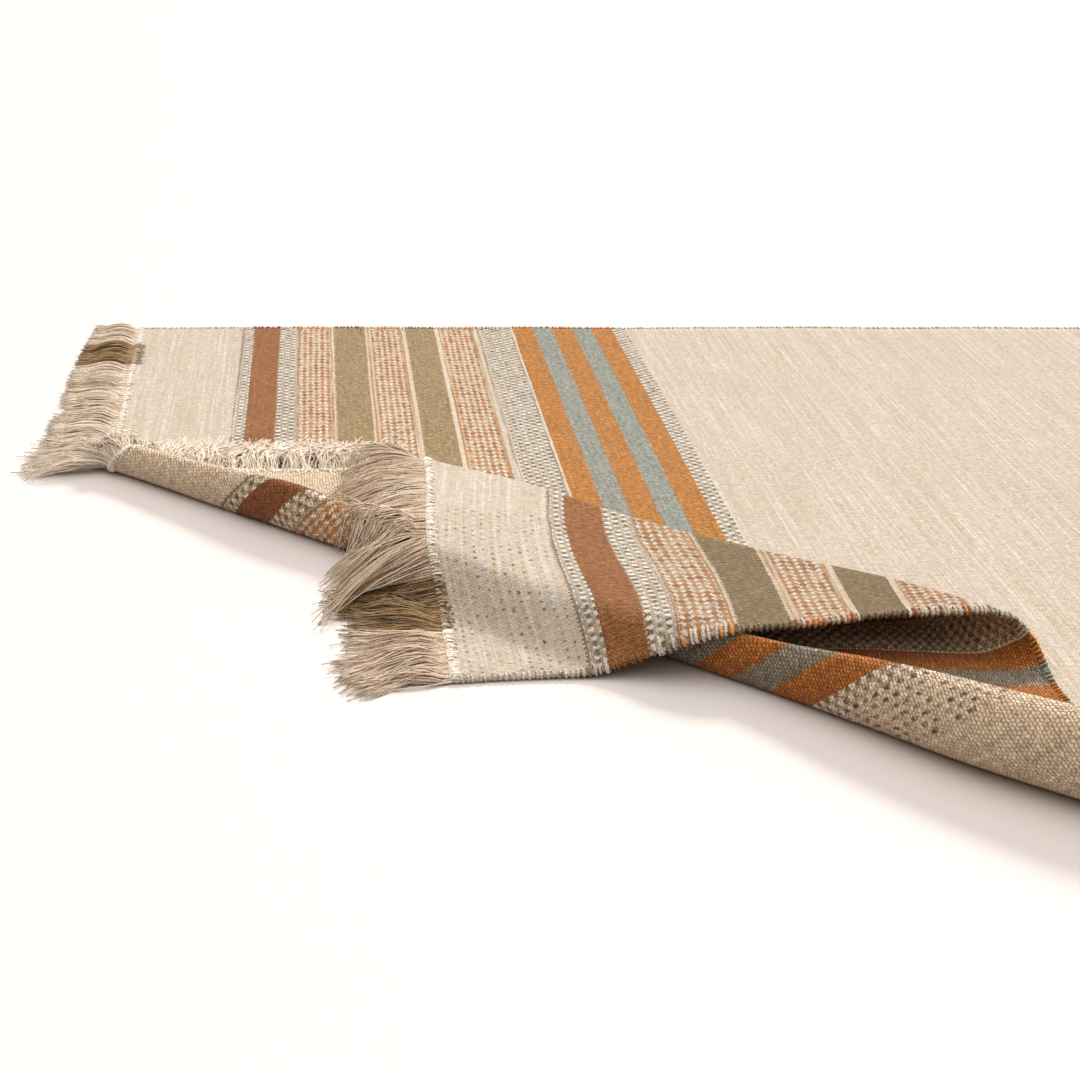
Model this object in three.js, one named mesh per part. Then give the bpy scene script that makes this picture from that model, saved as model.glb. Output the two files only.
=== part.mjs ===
// A flat-woven kilim rug of 1.6 m by 2.3 m with a fringe at both short ends.
// It lies on a floor with one corner turned back on itself in an S-shaped fold: a roll along a
// slanted line, a middle stretch lying underside up, a second bend, and a flap lying top side up.
// +Z is up and z = 0 is the floor. All sizes are in millimetres.
import * as THREE from "three";

// The rug laid out flat: u runs along its length, v across it from the turned selvedge.
const RUG_LENGTH = 2300;
const RUG_WIDTH = 1600;
const CLOTH_THICKNESS = 4;
const HALF_THICKNESS = CLOTH_THICKNESS / 2;
// The left short end isn't square: at v = 0 it lies this far in from u = 0.
const END_SKEW = 38;

// The roll's contact line starts on the left short end and runs to the turned selvedge.
const FOLD_ANGLE = THREE.MathUtils.degToRad(42.4);
const FOLD_START_V = 998;
// Height of the cloth's middle surface where it lies on the floor, and where it lies on the rug.
const FLOOR_LAYER = HALF_THICKNESS;
const SECOND_LAYER = 8.5;
// Clear space between the roll's top and the flap that lies over it.
const FLAP_CLEARANCE = 1.5;

// Sections across the fold, one row for each place along the contact line. Distances are from
// the contact line, positive away from the roll's open side. "along" is the place of the section,
// the slips move the cloth along the fold line, and "endLift" raises the flap's landing place.
const FOLD_COLUMNS = [
  "along", "rollHeight", "rollFront", "rollBack", "bendReach", "bendHeight", "bendRound",
  "crossing", "landing", "bendSlip", "endSlip", "endLift",
];
const FOLD_SECTIONS = [
  [0, 34, 12, 37, 235, 24, 9, -7, -47, -4, -18, 0],
  [150, 44, 13, 38, 227, 27, 11, -4, -53, 0, -26, 0],
  [300, 55, 14, 42, 220, 31, 13, -3, -60, 8, -33, 0],
  [450, 45, 15, 46, 218, 38, 16, -5, -69, 30, -38, 0],
  [600, 38, 15, 48, 219, 36, 19, -12, -78, 46, -13, 0],
  [750, 41, 14, 44, 230, 38, 22, -14, -92, 54, -22, 1],
  [900, 50, 10, 34, 226, 50, 27, 3, -95, 46, -34, 2],
  [1020, 66, 23, 24, 209, 60, 30, 12, -91, 18, -52, 1],
  [1130, 75, 36, 36, 190, 64, 32, 14, -89, 5, -44, 0],
  [1260, 78, 32, 52, 200, 68, 32, 12, -88, -1, -32, 0],
  [1380, 52, 24, 61, 206, 70, 31, 11, -89, -3, -20, 0],
  [1500, 27, 16, 62, 208, 71, 31, 10, -90, -4, -10, 0],
];

// How many straight steps each stretch of a section is drawn with.
const STEPS = { front: 10, back: 4, trough: 3, bend: 8, over: 5, drop: 6, floor: 3 };
const BISECTIONS = 30;
// A path point nearer to the cloth's edge than this gives way to the edge.
const EDGE_TOLERANCE = 0.5;
const FLOOR_STRETCH = 200;

// The fringe: locks of warp ends whose roots share a narrow woven strip at the rug's edge.
const FRINGE_LENGTH = 88;
const LOCKS_PER_END = 110;
const LOCK_WIDTH = 4;
const LOCK_TIP_SCALE = 0.6;
const STRIP_GAP = 0.3;
const FOLDED_STRIP_GAP = 0.7;
const STRIP_WIDTH = 6;
const FLAT_LOCK_STEPS = 2;
const FOLDED_LOCK_STEPS = 4;
const LOCK_MARGIN = 16;
// Uneven lie of the locks: the angle that they swing aside, and the share that their length varies.
const LOCK_SWING = 0.018;
const LOCK_LENGTH_CHANGE = 0.05;
// How far locks that lie on cloth clear it: the flap's also clear the middle's locks below them.
const MIDDLE_LIFT = 2;
const FLAP_LIFT = 6;
// Places across the width where the left fringe changes from one strip to the next.
const FLAT_STRIP_START = 1004;
const FLAP_STRIP_END = 596;

// The part's origin is the middle of the rug's outline on the floor.
const ORIGIN_U = RUG_LENGTH / 2;
const ORIGIN_V = RUG_WIDTH / 2;

const leftEndU = (v) => END_SKEW * (1 - v / RUG_WIDTH);
const FOLD_START_U = leftEndU(FOLD_START_V);
const alongX = Math.cos(FOLD_ANGLE);
const alongY = -Math.sin(FOLD_ANGLE);
const awayX = Math.sin(FOLD_ANGLE);
const awayY = Math.cos(FOLD_ANGLE);

// Place along the contact line, and distance beyond it, of a point of the flat rug.
function foldCoordinates(u, v) {
  const du = u - FOLD_START_U;
  const dv = v - FOLD_START_V;
  return { along: alongX * du + alongY * dv, beyond: -(awayX * du + awayY * dv) };
}

const CORNER = foldCoordinates(END_SKEW, 0);
const FOLD_END_ALONG = -FOLD_START_V / alongY;

// How far the cloth reaches beyond the contact line: it grows along the short end up to the
// rug's corner, then shrinks along the selvedge to nothing.
function reachBeyond(along) {
  if (along <= CORNER.along) return (CORNER.beyond * along) / CORNER.along;
  return (CORNER.beyond * (FOLD_END_ALONG - along)) / (FOLD_END_ALONG - CORNER.along);
}

// The section table's values at one place, joined by cubic curves whose slope at each row is
// that of the line through the rows beside it.
function sectionValues(along) {
  const rows = FOLD_SECTIONS;
  const last = rows.length - 1;
  const place = THREE.MathUtils.clamp(along, rows[0][0], rows[last][0]);
  let i = 0;
  while (i < last - 1 && place > rows[i + 1][0]) i++;
  const span = rows[i + 1][0] - rows[i][0];
  const f = (place - rows[i][0]) / span;
  const slope = (k, c) => {
    const a = rows[Math.max(k - 1, 0)];
    const b = rows[Math.min(k + 1, last)];
    return (b[c] - a[c]) / (b[0] - a[0]);
  };
  const values = {};
  FOLD_COLUMNS.forEach((name, c) => {
    const rise = rows[i + 1][c] - rows[i][c];
    const start = slope(i, c) * span;
    const end = slope(i + 1, c) * span;
    values[name] = rows[i][c] + f * start + f * f * (3 * rise - 2 * start - end)
      + f * f * f * (start + end - 2 * rise);
  });
  return values;
}

// Runs from 0 to 1 with no slope at either end.
const ease = (f) => 0.5 - 0.5 * Math.cos(Math.PI * f);

// The cloth's path across the fold at one place, as points q (distance away) and z (height),
// each with its length along the path.
function sectionPath(along) {
  const v = sectionValues(along);
  const flapTop = v.rollHeight + CLOTH_THICKNESS + FLAP_CLEARANCE;
  const bendStart = v.bendReach - v.bendRound;
  const landed = FLOOR_LAYER + Math.max(v.endLift, 0);
  const points = [{ q: 0, z: FLOOR_LAYER, length: 0 }];
  const stretch = (steps, q, z) => {
    for (let k = 1; k <= steps; k++) {
      const before = points[points.length - 1];
      const next = { q: q(k / steps), z: z(k / steps) };
      next.length = before.length + Math.hypot(next.q - before.q, next.z - before.z);
      points.push(next);
    }
  };
  const line = (a, b) => (f) => a + (b - a) * f;
  const slope = (a, b) => (f) => a + (b - a) * ease(f);
  stretch(STEPS.front, (f) => -v.rollFront * Math.sin(Math.PI * f), slope(FLOOR_LAYER, v.rollHeight));
  stretch(STEPS.back, line(0, v.rollBack), slope(v.rollHeight, SECOND_LAYER));
  stretch(STEPS.trough, line(v.rollBack, bendStart), line(SECOND_LAYER, SECOND_LAYER));
  const bendMiddle = points.length - 1 + STEPS.bend / 2;
  stretch(STEPS.bend, (f) => bendStart + v.bendRound * Math.sin(Math.PI * f),
    slope(SECOND_LAYER, v.bendHeight));
  stretch(STEPS.over, line(bendStart, v.crossing), slope(v.bendHeight, flapTop));
  stretch(STEPS.drop, line(v.crossing, v.landing), slope(flapTop, landed));
  stretch(STEPS.floor, line(v.landing, v.landing - FLOOR_STRETCH), line(landed, landed));
  return { points, values: v, bendAt: points[bendMiddle].length };
}

// The slip along the fold line grows to the bend, and from there to the corner's distance.
function slipAt(path, beyond) {
  const { bendSlip, endSlip } = path.values;
  if (beyond <= path.bendAt) return (bendSlip * beyond) / path.bendAt;
  const f = (beyond - path.bendAt) / (CORNER.beyond - path.bendAt);
  return bendSlip + (endSlip - bendSlip) * f;
}

// A point of a path as a place in the room, with the direction that the cloth's top side faces.
function placeOnPath(path, along, q, z, beyond, tangent) {
  const slid = along + slipAt(path, beyond);
  return {
    position: new THREE.Vector3(
      FOLD_START_U + slid * alongX + q * awayX - ORIGIN_U,
      FOLD_START_V + slid * alongY + q * awayY - ORIGIN_V,
      z,
    ),
    topSide: new THREE.Vector3(tangent.z * awayX, tangent.z * awayY, -tangent.q),
  };
}

function pathTangent(points, from, to) {
  const dq = points[to].q - points[from].q;
  const dz = points[to].z - points[from].z;
  const size = Math.hypot(dq, dz);
  return { q: dq / size, z: dz / size };
}

// The place of path point k. The path starts level, lying on the floor.
function pathVertex(path, along, k) {
  const { points } = path;
  const last = points.length - 1;
  const tangent = k === 0 ? { q: -1, z: 0 } : pathTangent(points, k - 1, Math.min(k + 1, last));
  return placeOnPath(path, along, points[k].q, points[k].z, points[k].length, tangent);
}

// The place of any length along a path, between its points.
function pathPlace(path, along, beyond) {
  const { points } = path;
  let k = 0;
  while (k < points.length - 2 && points[k + 1].length < beyond) k++;
  const f = (beyond - points[k].length) / (points[k + 1].length - points[k].length);
  const q = THREE.MathUtils.lerp(points[k].q, points[k + 1].q, f);
  const z = THREE.MathUtils.lerp(points[k].z, points[k + 1].z, f);
  const from = Math.max(k - (f < 0.5 ? 1 : 0), 0);
  const to = Math.min(k + (f < 0.5 ? 1 : 2), points.length - 1);
  const tangent = k === 0 && f < 0.5 ? { q: -1, z: 0 } : pathTangent(points, from, to);
  return placeOnPath(path, along, q, z, beyond, tangent);
}

// Where a point of the flat rug lies in the room. Short of the contact line it lies on the floor.
function laidPoint(u, v) {
  const { along, beyond } = foldCoordinates(u, v);
  if (beyond > 0) return pathPlace(sectionPath(along), along, beyond);
  return {
    position: new THREE.Vector3(u - ORIGIN_U, v - ORIGIN_V, FLOOR_LAYER),
    topSide: new THREE.Vector3(0, 0, 1),
  };
}

// A closed solid from a sheet's points and triangles, wound anticlockwise seen on its top side:
// both faces, half the thickness away from the sheet, and a wall along its rim.
function thickenedSheet(points, triangles) {
  const positions = [];
  for (const side of [1, -1]) {
    for (const p of points) {
      const at = p.position.clone().addScaledVector(p.topSide, side * HALF_THICKNESS);
      positions.push(at.x, at.y, at.z);
    }
  }
  const under = points.length;
  const index = [];
  const rim = new Map();
  for (const [a, b, c] of triangles) {
    index.push(a, b, c, under + a, under + c, under + b);
    for (const [from, to] of [[a, b], [b, c], [c, a]]) {
      if (!rim.delete(to + "," + from)) rim.set(from + "," + to, [from, to]);
    }
  }
  for (const [from, to] of rim.values()) {
    index.push(under + from, under + to, to, under + from, to, from);
  }
  return indexedGeometry(positions, index);
}

function indexedGeometry(positions, index) {
  const geometry = new THREE.BufferGeometry();
  geometry.setAttribute("position", new THREE.Float32BufferAttribute(positions, 3));
  geometry.setIndex(index);
  geometry.computeVertexNormals();
  return geometry;
}

// Where, between two places, the cloth's edge passes through path point k, or null if it doesn't.
function edgeCrossing(k, from, to) {
  const spare = (along) => sectionPath(along).points[k].length - reachBeyond(along);
  let [a, b] = [from, to];
  if (Math.sign(spare(a)) === Math.sign(spare(b))) return null;
  for (let step = 0; step < BISECTIONS; step++) {
    const middle = (a + b) / 2;
    if (Math.sign(spare(middle)) === Math.sign(spare(a))) a = middle;
    else b = middle;
  }
  return (a + b) / 2;
}

// Sections of the folded corner, from the contact line's start to its end. Besides the corner
// itself there is one wherever the cloth's edge passes through a point of the path.
function sectionPlaces() {
  const places = [0, CORNER.along, FOLD_END_ALONG];
  const count = sectionPath(0).points.length;
  for (const [from, to] of [[0, CORNER.along], [CORNER.along, FOLD_END_ALONG]]) {
    for (let k = 1; k < count; k++) {
      const place = edgeCrossing(k, from, to);
      if (place !== null) places.push(place);
    }
  }
  return places.sort((a, b) => a - b);
}

// The whole cloth in one piece: the body on the floor, and the folded corner section by section.
function clothGeometry() {
  const points = [];
  const triangles = [];
  const rows = sectionPlaces().map((along) => {
    const path = sectionPath(along);
    const reach = reachBeyond(along);
    const row = [];
    for (let k = 0; k < path.points.length; k++) {
      if (k > 0 && path.points[k].length >= reach - EDGE_TOLERANCE) break;
      row.push(points.push(pathVertex(path, along, k)) - 1);
    }
    if (reach > EDGE_TOLERANCE) row.push(points.push(pathPlace(path, along, reach)) - 1);
    return row;
  });
  for (let i = 0; i + 1 < rows.length; i++) {
    const [near, far] = [rows[i], rows[i + 1]];
    const count = Math.max(near.length, far.length);
    const at = (row, k) => row[Math.min(k, row.length - 1)];
    for (let k = 0; k + 1 < count; k++) {
      const [a, b] = [at(near, k), at(near, k + 1)];
      const [c, d] = [at(far, k + 1), at(far, k)];
      if (a !== b) triangles.push([a, b, c]);
      if (c !== d) triangles.push([a, c, d]);
    }
  }
  const contact = rows.map((row) => row[0]);
  const outline = [...contact];
  for (const [u, v] of [[RUG_LENGTH, 0], [RUG_LENGTH, RUG_WIDTH], [leftEndU(RUG_WIDTH), RUG_WIDTH]]) {
    outline.push(points.push(laidPoint(u, v)) - 1);
  }
  const contour = outline.map((k) => new THREE.Vector2(points[k].position.x, points[k].position.y));
  for (const [a, b, c] of THREE.ShapeUtils.triangulateShape(contour, [])) {
    triangles.push([outline[a], outline[b], outline[c]]);
  }
  return thickenedSheet(points, triangles);
}

// Height of the cloth that lies under a place left of the flap, and 0 where only the floor does.
// The roll counts as wider than it is by a margin, so that no lock cuts its corner.
function supportHeight(x, y) {
  const u = x + ORIGIN_U - FOLD_START_U;
  const v = y + ORIGIN_V - FOLD_START_V;
  const along = u * alongX + v * alongY;
  const away = u * awayX + v * awayY;
  const { rollFront, rollBack, rollHeight } = sectionValues(along);
  if (along < 0) return v > -LOCK_WIDTH ? CLOTH_THICKNESS : 0;
  if (away < -rollFront - LOCK_MARGIN) return 0;
  if (away < LOCK_MARGIN) return rollHeight + HALF_THICKNESS;
  const down = ease(Math.min((away - LOCK_MARGIN) / rollBack, 1));
  return THREE.MathUtils.lerp(rollHeight, SECOND_LAYER, down) + HALF_THICKNESS;
}

// One lock of fringe as rings of four points, from its root quad out to its tip. It leaves the
// strip along its heading, turns level, and comes to rest on what lies below it.
function lockRings(root, heading, topSide, number, outward, lift) {
  const middle = root.reduce((sum, p) => sum.add(p), new THREE.Vector3()).multiplyScalar(1 / 4);
  const swing = LOCK_SWING * (Math.sin(number * 2.4) + Math.sin(number * 5.1));
  const length = FRINGE_LENGTH * (1 - LOCK_LENGTH_CHANGE * (1 - Math.sin(number * 1.7)));
  const level = new THREE.Vector3(heading.x, heading.y, 0);
  const reach = level.length();
  const up = new THREE.Vector3(0, 0, 1);
  level.normalize().applyAxisAngle(up, swing);
  const turned = topSide.z < 0 ? -1 : 1;
  const across = new THREE.Vector3().crossVectors(level, up).multiplyScalar(-outward * turned);
  const steps = lift > 0 ? FOLDED_LOCK_STEPS : FLAT_LOCK_STEPS;
  const rings = [];
  for (let k = 1; k <= steps; k++) {
    const f = k / steps;
    const scale = THREE.MathUtils.lerp(1, LOCK_TIP_SCALE, f);
    const half = HALF_THICKNESS * scale;
    const run = length * THREE.MathUtils.lerp(reach, 1, f) * f;
    const centre = middle.clone().addScaledVector(level, run);
    const support = lift > 0 ? supportHeight(centre.x, centre.y) : 0;
    const rest = support + half + (support > 0 ? lift : 0);
    const settling = middle.z + heading.z * length * f * (1 - f) + (rest - middle.z) * f * f;
    centre.z = Math.max(settling, rest);
    rings.push(root.map((p, corner) => {
      const side = corner < 2 ? -1 : 1;
      const top = corner === 1 || corner === 2 ? 1 : -1;
      const flat = across.clone().multiplyScalar((side * LOCK_WIDTH * scale) / 2)
        .addScaledVector(up, top * turned * half);
      const levelled = Math.min(2 * f, 1);
      const at = p.clone().sub(middle).multiplyScalar(scale).lerp(flat, levelled).add(centre);
      at.z = Math.max(at.z, 0);
      return at;
    }));
  }
  return rings;
}

// A strip along part of a short end, with its locks growing out of its outer wall. outward is -1
// at the left end and 1 at the right. lift raises locks that lie on cloth, 0 where none do.
function fringeGeometry(fromV, toV, endU, outward, lift) {
  const pitch = RUG_WIDTH / LOCKS_PER_END;
  const gap = lift > 0 ? FOLDED_STRIP_GAP : STRIP_GAP;
  const positions = [];
  const index = [];
  const add = (p) => {
    positions.push(p.x, p.y, p.z);
    return positions.length / 3 - 1;
  };
  const quad = (a, b, c, d) => index.push(a, b, c, a, c, d);
  // The strip's four corners at one place: its inner top and bottom, then its outer ones.
  const station = (v) => {
    const corners = [];
    for (const offset of [gap, gap + STRIP_WIDTH]) {
      const laid = laidPoint(endU(v) + outward * offset, v);
      for (const side of [1, -1]) {
        corners.push(laid.position.clone().addScaledVector(laid.topSide, side * HALF_THICKNESS));
      }
    }
    return { corners, ids: corners.map(add) };
  };
  let before = null;
  let first = null;
  const join = (a, b) => {
    quad(a[0], a[1], b[1], b[0]);
    quad(a[2], a[0], b[0], b[2]);
    quad(a[1], a[3], b[3], b[1]);
  };
  for (let n = Math.ceil(fromV / pitch - 0.5); n <= Math.floor(toV / pitch - 0.5); n++) {
    const v = (n + 0.5) * pitch;
    const a = station(v - LOCK_WIDTH / 2);
    const b = station(v + LOCK_WIDTH / 2);
    first ??= a.ids;
    if (before) {
      join(before, a.ids);
      quad(before[3], before[2], a.ids[2], a.ids[3]);
    }
    join(a.ids, b.ids);
    before = b.ids;
    const inner = laidPoint(endU(v) + outward * gap, v);
    const outer = laidPoint(endU(v) + outward * (gap + STRIP_WIDTH), v);
    const heading = outer.position.clone().sub(inner.position).normalize();
    const root = [a.corners[3], a.corners[2], b.corners[2], b.corners[3]];
    let ring = [a.ids[3], a.ids[2], b.ids[2], b.ids[3]];
    for (const next of lockRings(root, heading, outer.topSide, n, outward, lift)) {
      const ids = next.map(add);
      for (let c = 0; c < 4; c++) quad(ring[c], ring[(c + 1) % 4], ids[(c + 1) % 4], ids[c]);
      ring = ids;
    }
    quad(...ring);
  }
  quad(first[1], first[0], first[2], first[3]);
  quad(before[0], before[1], before[3], before[2]);
  if (outward > 0) index.reverse();
  return indexedGeometry(positions, index);
}

function named(name, geometry, material) {
  const mesh = new THREE.Mesh(geometry, material);
  mesh.name = name;
  return mesh;
}

const wool = new THREE.MeshStandardMaterial({ color: 0xe4d6bd, roughness: 0.95, metalness: 0 });
const warp = new THREE.MeshStandardMaterial({ color: 0xc3b39c, roughness: 0.95, metalness: 0 });
const rightEndU = () => RUG_LENGTH;

const rug = new THREE.Group();
rug.add(named("rug_cloth", clothGeometry(), wool));
rug.add(named("fringe_left_body", fringeGeometry(FLAT_STRIP_START, RUG_WIDTH, leftEndU, -1, 0), warp));
rug.add(named("fringe_left_middle",
  fringeGeometry(FLAP_STRIP_END, FLAT_STRIP_START, leftEndU, -1, MIDDLE_LIFT), warp));
rug.add(named("fringe_left_flap", fringeGeometry(0, FLAP_STRIP_END, leftEndU, -1, FLAP_LIFT), warp));
rug.add(named("fringe_right", fringeGeometry(0, RUG_WIDTH, rightEndU, 1, 0), warp));

export default rug;
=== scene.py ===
import bpy
import numpy as np
from mathutils import Matrix


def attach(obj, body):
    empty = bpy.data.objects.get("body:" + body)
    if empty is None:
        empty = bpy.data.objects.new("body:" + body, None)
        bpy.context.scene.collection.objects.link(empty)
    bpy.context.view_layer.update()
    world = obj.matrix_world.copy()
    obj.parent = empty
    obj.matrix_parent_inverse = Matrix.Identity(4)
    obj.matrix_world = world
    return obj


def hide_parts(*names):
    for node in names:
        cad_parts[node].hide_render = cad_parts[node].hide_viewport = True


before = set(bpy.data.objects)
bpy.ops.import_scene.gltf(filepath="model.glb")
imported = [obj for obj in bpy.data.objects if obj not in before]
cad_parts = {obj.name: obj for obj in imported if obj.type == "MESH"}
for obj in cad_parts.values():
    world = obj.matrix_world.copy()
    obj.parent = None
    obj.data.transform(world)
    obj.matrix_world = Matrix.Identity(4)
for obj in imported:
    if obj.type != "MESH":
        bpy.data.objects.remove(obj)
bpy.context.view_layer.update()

# The camera looks across the turned corner from the near left, at about table height. The frame
# is square, and the lens is an ordinary one for a product photograph of this size.
CAMERA_PLACE = np.array([-0.8782, -1.9015, 0.7862])
CAMERA_PITCH, CAMERA_TURN, CAMERA_TILT = np.radians([22.740, 7.430, -2.083])

sight = np.array([
    np.sin(CAMERA_TURN) * np.cos(CAMERA_PITCH),
    np.cos(CAMERA_TURN) * np.cos(CAMERA_PITCH),
    -np.sin(CAMERA_PITCH),
])
level_right = np.array([np.cos(CAMERA_TURN), -np.sin(CAMERA_TURN), 0.0])
level_down = np.cross(sight, level_right)
camera_right = np.cos(CAMERA_TILT) * level_right + np.sin(CAMERA_TILT) * level_down
camera_down = np.cos(CAMERA_TILT) * level_down - np.sin(CAMERA_TILT) * level_right

camera_data = bpy.data.cameras.new("camera")
camera_data.lens = 60
camera_data.sensor_width = 36
camera_data.clip_end = 60
camera = bpy.data.objects.new("camera", camera_data)
camera.matrix_world = Matrix([
    [camera_right[i], -camera_down[i], -sight[i], CAMERA_PLACE[i]] for i in range(3)
] + [[0, 0, 0, 1]])
bpy.context.collection.objects.link(camera)
bpy.context.scene.camera = camera

# The rug cloth: one weft-faced woven piece of wool on a cotton warp, about 4 mm thick. Its left
# short end is cut 38 mm out of square, and its near left corner is turned back on itself: a roll
# along a slanted line, a middle stretch lying underside up, a second bend, and a flap on top.
RUG_LENGTH = 2.300
RUG_WIDTH = 1.600
END_SKEW = 0.038
HALF_THICKNESS = 0.002
FOLD_ANGLE = np.radians(42.4)
FOLD_START_V = 0.998
SECOND_LAYER = 0.0085
FLAP_CLEARANCE = 0.0015
UNEVENNESS = 0.0004

# Sections across the fold in millimetres, one row for each place along the roll's contact line:
# place, roll height, how far the roll bulges out and falls back, how far away the second bend
# lies, its height and roundness, where the flap crosses back over the roll, where it lands, how
# far the cloth slips along the fold by the bend and by the corner, and the landing's lift.
FOLD_SECTIONS = np.array([
    [0, 34, 12, 37, 235, 24, 9, -7, -47, -4, -18, 0],
    [150, 44, 13, 38, 227, 27, 11, -4, -53, 0, -26, 0],
    [300, 55, 14, 42, 220, 31, 13, -3, -60, 8, -33, 0],
    [450, 45, 15, 46, 218, 38, 16, -5, -69, 30, -38, 0],
    [600, 38, 15, 48, 219, 36, 19, -12, -78, 46, -13, 0],
    [750, 41, 14, 44, 230, 38, 22, -14, -92, 54, -22, 1],
    [900, 50, 10, 34, 226, 50, 27, 3, -95, 46, -34, 2],
    [1020, 66, 23, 24, 209, 60, 30, 12, -91, 18, -52, 1],
    [1130, 75, 36, 36, 190, 64, 32, 14, -89, 5, -44, 0],
    [1260, 78, 32, 52, 200, 68, 32, 12, -88, -1, -32, 0],
    [1380, 52, 24, 61, 206, 70, 31, 11, -89, -3, -20, 0],
    [1500, 27, 16, 62, 208, 71, 31, 10, -90, -4, -10, 0],
]) / 1000
# How many steps each stretch of a path across the fold has, and how far its last one would run
# on over the floor if the cloth's edge didn't end it.
PATH_STEPS = {"front": 14, "back": 8, "trough": 4, "bend": 14, "over": 8, "drop": 10, "floor": 4}
FLOOR_RUN = 0.2


def left_end(v):
    """Where the left short end lies: the skew, shrinking evenly from one selvedge to the other."""
    return END_SKEW * (1 - v / RUG_WIDTH)


FOLD_START_U = left_end(FOLD_START_V)
ALONG = np.array([np.cos(FOLD_ANGLE), -np.sin(FOLD_ANGLE)])
AWAY = np.array([np.sin(FOLD_ANGLE), np.cos(FOLD_ANGLE)])


def fold_place(u, v):
    """A flat place as its distance along the contact line and its distance beyond it."""
    du, dv = u - FOLD_START_U, v - FOLD_START_V
    return ALONG[0] * du + ALONG[1] * dv, -(AWAY[0] * du + AWAY[1] * dv)


CORNER_ALONG, CORNER_BEYOND = fold_place(END_SKEW, 0.0)
FOLD_END = FOLD_START_V / np.sin(FOLD_ANGLE)


def ease(f):
    """Half a cosine wave from 0 to 1, level at both ends."""
    return 0.5 - 0.5 * np.cos(np.pi * f)


def section_values(along):
    """The section table at any places, row to row by cubics whose slope at a row is that of the
    line through its neighbours."""
    rows = FOLD_SECTIONS
    place = np.clip(along, rows[0, 0], rows[-1, 0])
    i = np.clip(np.searchsorted(rows[:, 0], place, side="right") - 1, 0, len(rows) - 2)
    before = np.maximum(i - 1, 0)
    after = np.minimum(i + 2, len(rows) - 1)
    span = (rows[i + 1, 0] - rows[i, 0])[:, None]
    f = (place - rows[i, 0])[:, None] / span
    rise = rows[i + 1] - rows[i]
    start = (rows[i + 1] - rows[before]) / (rows[i + 1, 0] - rows[before, 0])[:, None] * span
    end = (rows[after] - rows[i]) / (rows[after, 0] - rows[i, 0])[:, None] * span
    curve = f * start + f**2 * (3 * rise - 2 * start - end) + f**3 * (start + end - 2 * rise)
    return (rows[i] + curve).T[:, :, None]


def fold_paths(along):
    """The cloth's path across the fold at each place: distance away q and height z of its points,
    stretch after stretch. Straight runs are lines in q, bulges are sine arches, heights ease."""
    (_, roll, front, back, bend, bend_height, bend_round, crossing, landing,
     bend_slip, end_slip, lift) = section_values(along)
    flap_top = roll + 2 * HALF_THICKNESS + FLAP_CLEARANCE
    start = bend - bend_round
    landed = HALF_THICKNESS + np.maximum(lift, 0)
    f = {name: np.linspace(0, 1, steps + 1)[None, 1:] for name, steps in PATH_STEPS.items()}
    none = np.zeros_like(roll)
    q = np.concatenate([
        none,
        -front * np.sin(np.pi * f["front"]),
        back * f["back"],
        back + (start - back) * f["trough"],
        start + bend_round * np.sin(np.pi * f["bend"]),
        start + (crossing - start) * f["over"],
        crossing + (landing - crossing) * f["drop"],
        landing - FLOOR_RUN * f["floor"],
    ], axis=1)
    z = np.concatenate([
        none + HALF_THICKNESS,
        HALF_THICKNESS + (roll - HALF_THICKNESS) * ease(f["front"]),
        roll + (SECOND_LAYER - roll) * ease(f["back"]),
        none + SECOND_LAYER + 0 * f["trough"],
        SECOND_LAYER + (bend_height - SECOND_LAYER) * ease(f["bend"]),
        bend_height + (flap_top - bend_height) * ease(f["over"]),
        flap_top + (landed - flap_top) * ease(f["drop"]),
        landed + 0 * f["floor"],
    ], axis=1)
    length = np.concatenate([none, np.cumsum(np.hypot(np.diff(q), np.diff(z)), axis=1)], axis=1)
    middle = sum(PATH_STEPS[name] for name in ("front", "back", "trough")) + PATH_STEPS["bend"] // 2
    return q, z, length, length[:, middle:middle + 1], bend_slip, end_slip


def floor_unevenness(x, y):
    """How far the cloth stands off the floor where it doesn't lie quite flat: three slow waves
    across each other, lifted by their whole height so that they never dip into the floor."""
    waves = np.sin(17.0 * x + 5.0 * y + 0.6) + np.sin(-9.0 * x + 14.0 * y + 2.0)
    waves = waves + 0.7 * np.sin(26.0 * x - 11.0 * y)
    return UNEVENNESS * (2.7 + waves)


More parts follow.
